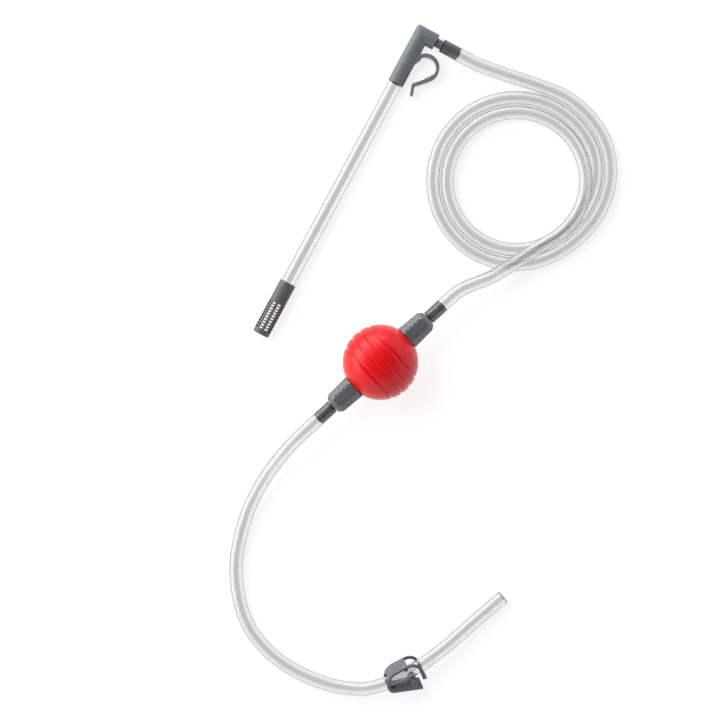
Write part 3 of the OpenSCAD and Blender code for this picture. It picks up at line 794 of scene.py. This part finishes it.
class SIPHON_OT_bulb(bpy.types.Operator):
    """Red rubber bulb with four grooves round its middle and a neck at each end"""
    bl_idname = "siphon.bulb"
    bl_label = "Squeeze bulb"

    def execute(self, context):
        sizes = context.scene.siphon_sizes
        radius = sizes.bulb_outer / 2
        wall, neck_wall = 2.6 * MM, 2.4 * MM
        grooves = [u * MM for u in (-13.8, -4.6, 4.6, 13.8)]
        half_width = 0.85 * MM

        def depth(u):
            return sum(math.exp(-((u - g) / half_width) ** 2) for g in grooves)

        join = math.asin(NECK_R / radius)
        steps = 260
        outside = []
        for i in range(steps + 1):
            t = join + (math.pi - 2 * join) * i / steps
            u = -radius * math.cos(t)
            cut = sizes.groove_depth * depth(u)
            outside.append((u + cut * math.cos(t), (radius - cut) * math.sin(t)))
        bore = NECK_R - neck_wall
        hollow = radius - wall
        end = math.asin(bore / hollow)
        inside = [(hollow * math.cos(t), hollow * math.sin(t))
                  for t in (end + (math.pi - 2 * end) * i / 48 for i in range(49))]
        profile = ([(-NECK_END, NECK_R)] + outside + [(NECK_END, NECK_R), (NECK_END, bore)]
                   + inside + [(-NECK_END, bore)])
        bulb = as_object("squeeze_bulb_skin",
                         skin(lathe_rings(INLET_END, profile, 144), wrap=True))
        # The groove mark: where the bulb's red is darkened as painted shade in the grooves
        mark = bulb.data.attributes.new("groove", "FLOAT", "POINT")
        back = INLET_END.inverted()
        mark.data.foreach_set("value", [
            min(1.0, depth((back @ v.co).z) ** 2) for v in bulb.data.vertices])
        dress(bulb, shared("moulded_red_rubber", bulb_rubber, context.scene.siphon_colours.bulb),
              "siphon", ("squeeze_bulb",), sharp=60)
        return {"FINISHED"}


class SIPHON_OT_connectors(bpy.types.Operator):
    """Eight-sided cups with a hose barb, one at each end of the bulb"""
    bl_idname = "siphon.connectors"
    bl_label = "Connectors"

    def execute(self, context):
        sizes = context.scene.siphon_sizes
        wide = sizes.cup_wide / 2
        narrow, face = 10.7 * MM, 7.3 * MM
        mouth_r = sizes.bulb_outer / 2 + 0.4 * MM
        chamber_r, neck_hole_r = 7.2 * MM, NECK_R + FIT
        steps = 96
        flat = math.pi / 4
        blunt = 0.976
        block_reach = 0.34 * flat

        def corner_share(a):
            """Radius of a rounded octagon, as a share of its corners', at an angle."""
            off = (a + flat / 2) % flat - flat / 2
            return min(math.cos(flat / 2) / math.cos(off), blunt)

        def ring(at, u, radius, eight=1.0, on_bulb_skin=False, raised=0.0):
            points = []
            for a in all_round(steps):
                r = radius * (corner_share(a) * eight + 1 - eight)
                side = round(a / flat) % 8
                off = abs((a + flat / 2) % flat - flat / 2)
                if raised and side % 2 and off < block_reach:
                    r += raised
                height = math.sqrt(mouth_r ** 2 - r ** 2) + u if on_bulb_skin else u
                points.append(at @ Vector((r * math.cos(a), r * math.sin(a), height)))
            return points

        # Grip blocks on every second flat
        first, pitch, blocks, proud = 33.8 * MM, 4.3 * MM, 4, 0.55 * MM
        grip = []
        for i in range(blocks):
            u = first + i * pitch
            grip += [(u, 0.0), (u + 0.2 * MM, proud), (u + 2.6 * MM, proud), (u + 2.8 * MM, 0.0)]
        mouth_u = math.sqrt(mouth_r ** 2 - wide ** 2)

        def taper(u):
            return wide + (narrow - wide) * (u - mouth_u) / (CUP_SHOULDER - mouth_u)

        slope = (face - narrow) / (CUP_STOP - CUP_SHOULDER)
        for at, name, node in ((INLET_END, "inlet_connector_cup", "inlet_connector"),
                               (OUTLET_END, "outlet_connector_cup", "outlet_connector")):
            rings = [ring(at, 0, neck_hole_r, 0, True),
                     ring(at, 0, wide - 0.5 * MM, 1, True),
                     ring(at, 0.15 * MM, wide - 0.12 * MM, 1, True),
                     ring(at, 0.5 * MM, wide, 1, True)]
            rings += [ring(at, u, taper(u), 1, False, up) for u, up in grip]
            rings += [ring(at, CUP_SHOULDER - 0.6 * MM, taper(CUP_SHOULDER - 0.6 * MM)),
                      ring(at, CUP_SHOULDER - 0.1 * MM, narrow - 0.1 * MM),
                      ring(at, CUP_SHOULDER + 0.4 * MM, narrow + slope * 0.4 * MM - 0.05 * MM),
                      ring(at, CUP_STOP - 0.5 * MM, face - slope * 0.5 * MM, 0.8),
                      ring(at, CUP_STOP - 0.1 * MM, face - 0.1 * MM, 0.6),
                      ring(at, CUP_STOP, face - 0.6 * MM, 0.4)]
            inside = [(CHAMBER_END, BARB_BORE_R), (CHAMBER_END, chamber_r),
                      (CHAMBER_START, chamber_r), (CHAMBER_START, neck_hole_r)]
            # From this ring on, the barb lies in the hose and is marked for painted shade
            gripped = len(rings) + 2
            rings += lathe_rings(at, barb_profile(CUP_STOP, CUP_HOSE - CUP_STOP) + inside, steps)
            cup = as_object(name, skin(rings, wrap=True, inside=range(gripped, len(rings))))
            dress(cup, cup_plastic(context), "siphon", (node,), sharp=24)
        return {"FINISHED"}


class SIPHON_OT_valves(bpy.types.Operator):
    """Finishes of the valve pieces inside the connectors"""
    bl_idname = "siphon.valves"
    bl_label = "Valves"

    def execute(self, context):
        nylon = moulded_plastic("moulded_natural_nylon", linear("#D9DADB"), 0.4, 0.6)
        rubber = moulded_plastic("moulded_black_rubber", linear("#2B2C2E"), 0.6, 0.6)
        for side in ("inlet", "outlet"):
            for part, material in (("seat", nylon), ("cage", nylon), ("disc", rubber)):
                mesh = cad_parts[f"{side}_valve_{part}"].data
                mesh.materials.clear()
                mesh.materials.append(material)
        return {"FINISHED"}


class SIPHON_OT_tube(bpy.types.Operator):
    """Rigid clear tube between the elbow and the strainer"""
    bl_idname = "siphon.tube"
    bl_label = "Suction tube"

    def execute(self, context):
        sizes = context.scene.siphon_sizes
        outer = sizes.tube_outer / 2
        inner = outer - sizes.tube_wall
        top, bottom = ELBOW_SOCKET + END_GAP, STRAINER_TOP + STRAINER_GRIP
        lip = 0.25 * MM
        count = 40
        length = [top + lip + (bottom - top - 2 * lip) * i / count for i in range(count + 1)]
        outside = ([(top, outer - lip)] + [(u, outer) for u in length]
                   + [(bottom, outer - lip)])
        inside = ([(bottom, inner + lip)] + [(u, inner) for u in reversed(length)]
                  + [(top, inner + lip)])
        rings = lathe_rings(LEG, outside + inside, 64)
        tube = as_object("suction_tube_run",
                         skin(rings, wrap=True, inside=range(len(outside), len(rings))))
        dress(tube, tube_plastic(context), "siphon", ("suction_tube",))
        return {"FINISHED"}


class SIPHON_OT_elbow(bpy.types.Operator):
    """Elbow with a socket for the tube, a barb for the hose and the hook's seat"""
    bl_idname = "siphon.elbow"
    bl_label = "Elbow"

    def execute(self, context):
        sizes = context.scene.siphon_sizes
        r = sizes.elbow_outer / 2
        socket = sizes.tube_outer / 2 + FIT
        angles = all_round(72)

        def leg(radius, y):
            return [WAND @ Vector((radius * math.cos(a), -y, radius * math.sin(a)))
                    for a in angles]

        def arm(radius, x):
            return [WAND @ Vector((x, -radius * math.cos(a), radius * math.sin(a)))
                    for a in angles]

        def corner(t):
            """Mitre between leg and arm, round outside and tight inside."""
            ring = []
            for a in angles:
                x = r * math.cos(a)
                soft = 1.5 * MM - 1.1 * MM * math.cos(a)
                cx, cy = x + soft, -x - soft
                ring.append(WAND @ Vector((cx - soft * math.cos(t), cy + soft * math.sin(t),
                                           r * math.sin(a))))
            return ring

        rings = [leg(socket - 0.6 * MM, ELBOW_SOCKET), leg(socket, ELBOW_SOCKET),
                 leg(socket, ELBOW_LEG - 0.3 * MM), leg(socket + 0.15 * MM, ELBOW_LEG),
                 leg(r - 0.35 * MM, ELBOW_LEG), leg(r - 0.1 * MM, ELBOW_LEG - 0.1 * MM),
                 leg(r, ELBOW_LEG - 0.4 * MM), leg(r, 30 * MM), leg(r, 18 * MM)]
        rings += [corner(math.radians(15 * i)) for i in range(7)]
        rings += [arm(r, ELBOW_ARM - 0.4 * MM), arm(r - 0.1 * MM, ELBOW_ARM - 0.1 * MM),
                  arm(r - 0.4 * MM, ELBOW_ARM)]
        # From this ring on, the barb lies in the hose and is marked for painted shade
        gripped = len(rings) + 2
        rings += [arm(radius, x)
                  for x, radius in barb_profile(ELBOW_ARM, ELBOW_HOSE - ELBOW_ARM)]
        rings += [arm(BARB_BORE_R, 8 * MM)]
        elbow = as_object("elbow_moulding", skin(rings, inside=range(gripped, len(rings))))
        dress(elbow, wand_plastic(context), "siphon", ("elbow",))

        # Seat of the hook's root, with a fillet below it
        root, boss_r, hollow_r, fillet = (8.9, -16.722), 3.1, 1.65, 6
        low, high = arc(root, boss_r, 290, 142, 1)
        outline = [(5.7, low[1] - fillet), (7.25, low[1] - fillet), low]
        outline += arc(root, hollow_r, 290, 142, 12)
        outline += [(6.6, high[1]), (5.7, -14.6)]
        seat = as_object("elbow_hook_seat", slab(WAND, outline, sizes.hook_width))
        round_edges(seat, 0.35 * MM)
        dress(seat, wand_plastic(context), "siphon")
        return {"FINISHED"}


class SIPHON_OT_hook(bpy.types.Operator):
    """Springy question-mark hook that clips the wand on the rim of a tank"""
    bl_idname = "siphon.hook"
    bl_label = "Rim hook"

    def execute(self, context):
        sizes = context.scene.siphon_sizes
        mid, half, run, tip, bead_r = 11, 1.4, 15, 8, 1.6
        sweep, tip_bend = 178, 62
        bend = math.radians(tip_bend)
        along = (math.sin(bend), -math.cos(bend))
        across = (math.cos(bend), math.sin(bend))
        kink = (mid, -run)
        far = (kink[0] + tip * along[0], kink[1] + tip * along[1])
        upper = (kink[0] + half * across[0], kink[1] + half * across[1])
        meet = (mid + half - upper[0]) / along[0]
        outline = arc((0, 0), mid + half, sweep, 0, 48)
        outline += [(mid + half, -run * i / 12) for i in range(1, 11)]
        outline += [(mid + half, upper[1] + meet * along[1])]
        outline += arc(far, half, tip_bend, tip_bend - 180, 12)
        outline += arc(kink, half, tip_bend - 180, -180, 6)

        def inner(s, rise):
            """A point off the strip's inner side, at a length along it from the loop's end."""
            a = max(s, 0) / (mid - half)
            r = mid - half - rise
            return (r * math.cos(a), r * math.sin(a) + min(s, 0))

        # Grip teeth with valleys between them, from the run onto the loop's last stretch
        teeth, pitch, first, ridge, valley = 4, 2.2, 3.8, 1.2, -0.35
        outline += [inner(first - (teeth - 1) * pitch - 1.1, 0)]
        for i in reversed(range(teeth)):
            s = first - i * pitch
            outline += [inner(s - 0.75, valley), inner(s - 0.5, ridge), inner(s + 0.5, ridge),
                        inner(s + 0.75, valley)]
        outline += arc((0, 0), mid - half, math.degrees((first + 1.1) / (mid - half)), sweep, 44)
        root = (mid * math.cos(math.radians(sweep)), mid * math.sin(math.radians(sweep)))
        outline += arc(root, bead_r, -8, -176, 12)
        at = WAND @ Matrix.Translation(mm(16.678, -24.5)) @ turn("Z", -43)
        hook = as_object("rim_hook_strip", slab(at, outline, sizes.hook_width))
        round_edges(hook, 0.12 * MM)
        dress(hook, wand_plastic(context), "hook", ("rim_hook",))
        return {"FINISHED"}


class SIPHON_OT_strainer(bpy.types.Operator):
    """Slotted cap on the lower end of the tube"""
    bl_idname = "siphon.strainer"
    bl_label = "Strainer"

    def execute(self, context):
        sizes = context.scene.siphon_sizes
        r = sizes.strainer_outer / 2
        grip = sizes.tube_outer / 2 + FIT
        lead_in = grip + 0.45 * MM
        bore, collar, pitch, end, hub = 5.7 * MM, 20 * MM, 2.7 * MM, 2.9 * MM, 2 * MM
        rows = sizes.strainer_rows
        length = collar + rows * pitch + 4.4 * MM
        soft = 1.5 * MM
        at = LEG @ Matrix.Translation((0, 0, STRAINER_TOP))
        step = STRAINER_GRIP + END_GAP
        profile = [(length - end, hub), (length - end, bore), (step, bore), (step, grip),
                   (1.7 * MM, grip), (1.3 * MM, lead_in), (0.15 * MM, lead_in),
                   (0, lead_in + 0.1 * MM), (0, r - 0.35 * MM), (0.1 * MM, r - 0.1 * MM),
                   (0.4 * MM, r), (collar / 2, r)]
        profile += [(length - soft + soft * math.sin(t), r - soft + soft * math.cos(t))
                    for t in (math.radians(15 * i) for i in range(7))]
        profile += [(length, hub)]
        cap = as_object("strainer_cap_moulding", skin(lathe_rings(at, profile, 96)))
        # Each cutter goes through two columns of slots
        columns, slot_width, slot_height = 8, 4.1 * MM, 1.6 * MM
        cutters = []
        for column in range(columns // 2):
            bars = bmesh.new()
            for row in range(rows):
                u = collar + pitch * (row + 0.5)
                join(bars, box_mesh(at @ turn("Z", 360 / columns * (column + 0.5)),
                                    (-r - MM, -slot_width / 2, u - slot_height / 2),
                                    (r + MM, slot_width / 2, u + slot_height / 2)))
            cutters.append(bars)
        carve(cap, cutters)
        round_edges(cap, 0.16 * MM, 1, 50)
        dress(cap, strainer_plastic(context), "strainer_cap", ("strainer",))
        return {"FINISHED"}


class SIPHON_OT_clamp(bpy.types.Operator):
    """Flow clamp of bent strip: a lower half with jaw and latch teeth, and a hinged arm"""
    bl_idname = "siphon.clamp"
    bl_label = "Flow clamp"

    def execute(self, context):
        sizes = context.scene.siphon_sizes
        width = sizes.clamp_width
        material = clamp_plastic(context)
        thick, top, left, right = 2.4, 10.5, -19.5, 15.2
        pivot = (-18.3, -2.3)
        hole_r = 6.5

        def hose_hole(rise):
            return rod_mesh(CLAMP @ Matrix.Translation(mm(0, rise)) @ turn("Y", 90), hole_r * MM,
                            (left - 1) * MM, (left + 11.8) * MM, 48)

        # Lower half, about its loop's centre and with the strip along X
        spread, low_r, reach = 23, 5.8, 25.5
        low_centre = (left + low_r, -2.3)
        at = CLAMP @ Matrix.Translation(mm(*low_centre)) @ turn("Z", -spread)

        def in_strip(x, y):
            p = turn("Z", spread) @ Vector((x - low_centre[0], y - low_centre[1], 0))
            return (p.x, p.y)

        bead = in_strip(*pivot)
        jaw = in_strip(4, -8.3)
        block = (in_strip(0.5, -8.3), in_strip(6.4, -8.3))
        inner = thick - low_r
        outline = arc((0, 0), low_r, 180 + spread, 270, 14)
        outline += [(reach, -low_r), (reach, inner)]
        foot = block[1][0]
        middle = thick / 2 - low_r
        for i in range(3):
            y = middle + thick / 2 + 0.4 + i * 1.8
            outline += [(foot, y), (foot + 0.6, y), (foot, y + 1.4)]
        outline += [block[1]] + arc(jaw, 2, -10, 190, 12)[1:-1] + [block[0], (block[0][0], inner)]
        outline += arc((0, 0), low_r - thick, 270, 180 + spread, 14)
        outline += arc(bead, 1.4, spread - 5, 185 + spread, 14)[1:-1]
        lower = as_object("clamp_lower_half", slab(at, outline, width))
        carve(lower, [hose_hole(0)])
        round_edges(lower, 0.3 * MM)
        dress(lower, material, "siphon", ("clamp_body",))

        # Arm: loop, plate with the upper jaw's boss, bend, latch wall and lip
        loop_r, bend_r = 12.8, 10
        loop = (left + loop_r, top - loop_r)
        bend = (right - bend_r, top - bend_r)
        bottom = -9.5
        boss = (2.5, 8.3)
        side = right - thick
        outline = arc(loop, loop_r, 175.9, 90, 24) + arc(bend, bend_r, 90, 0, 20)
        outline += [(right, bottom), (side, bottom + 0.1), (side - 1.2, bottom + 0.6),
                    (side - 1.2, bottom + 1.2), (side, bottom + 2)]
        outline += arc(bend, bend_r - thick, 0, 90, 20)
        outline += arc(boss, 2, -6, -174, 14)
        outline += arc(loop, loop_r - thick, 90, 175.3, 24)
        outline += arc(pivot, 1.45, 36, 141, 10)
        upper = as_object("clamp_upper_arm", slab(CLAMP, outline, width))
        slot = box_mesh(CLAMP, mm(4.7, -6.5, -hole_r), mm(right + 1, top + 1, hole_r))
        pin = rod_mesh(CLAMP @ Matrix.Translation(mm(*boss)), 0.9 * MM, -9 * MM, 9 * MM, 24)
        carve(upper, [hose_hole(0), hose_hole(1.2), slot, pin])
        round_edges(upper, 0.3 * MM)
        dress(upper, material, "clamp_lever", ("clamp_arm",))
        return {"FINISHED"}


OPERATORS = (SIPHON_OT_stage, SIPHON_OT_inlet_hose, SIPHON_OT_outlet_hose, SIPHON_OT_bulb,
             SIPHON_OT_connectors, SIPHON_OT_valves, SIPHON_OT_tube, SIPHON_OT_elbow,
             SIPHON_OT_hook, SIPHON_OT_strainer, SIPHON_OT_clamp)


class SIPHON_PT_panel(bpy.types.Panel):
    """Lists the siphon's pieces, sizes and colours"""
    bl_idname = "SIPHON_PT_panel"
    bl_label = "Gravel vacuum siphon"
    bl_space_type = "VIEW_3D"
    bl_region_type = "UI"
    bl_category = "Siphon"

    def draw(self, context):
        for operator in OPERATORS:
            self.layout.operator(operator.bl_idname)
        for group in (context.scene.siphon_sizes, context.scene.siphon_colours):
            for name in group.__annotations__:
                self.layout.prop(group, name)


CLASSES = (SiphonSizes, SiphonColours) + OPERATORS + (SIPHON_PT_panel,)


def register():
    for cls in CLASSES:
        bpy.utils.register_class(cls)
    bpy.types.Scene.siphon_sizes = PointerProperty(type=SiphonSizes)
    bpy.types.Scene.siphon_colours = PointerProperty(type=SiphonColours)


def unregister():
    del bpy.types.Scene.siphon_colours
    del bpy.types.Scene.siphon_sizes
    for cls in reversed(CLASSES):
        bpy.utils.unregister_class(cls)


def main():
    register()
    for operator in OPERATORS:
        group, name = operator.bl_idname.split(".")
        getattr(getattr(bpy.ops, group), name)()


if __name__ == "__main__":
    main()
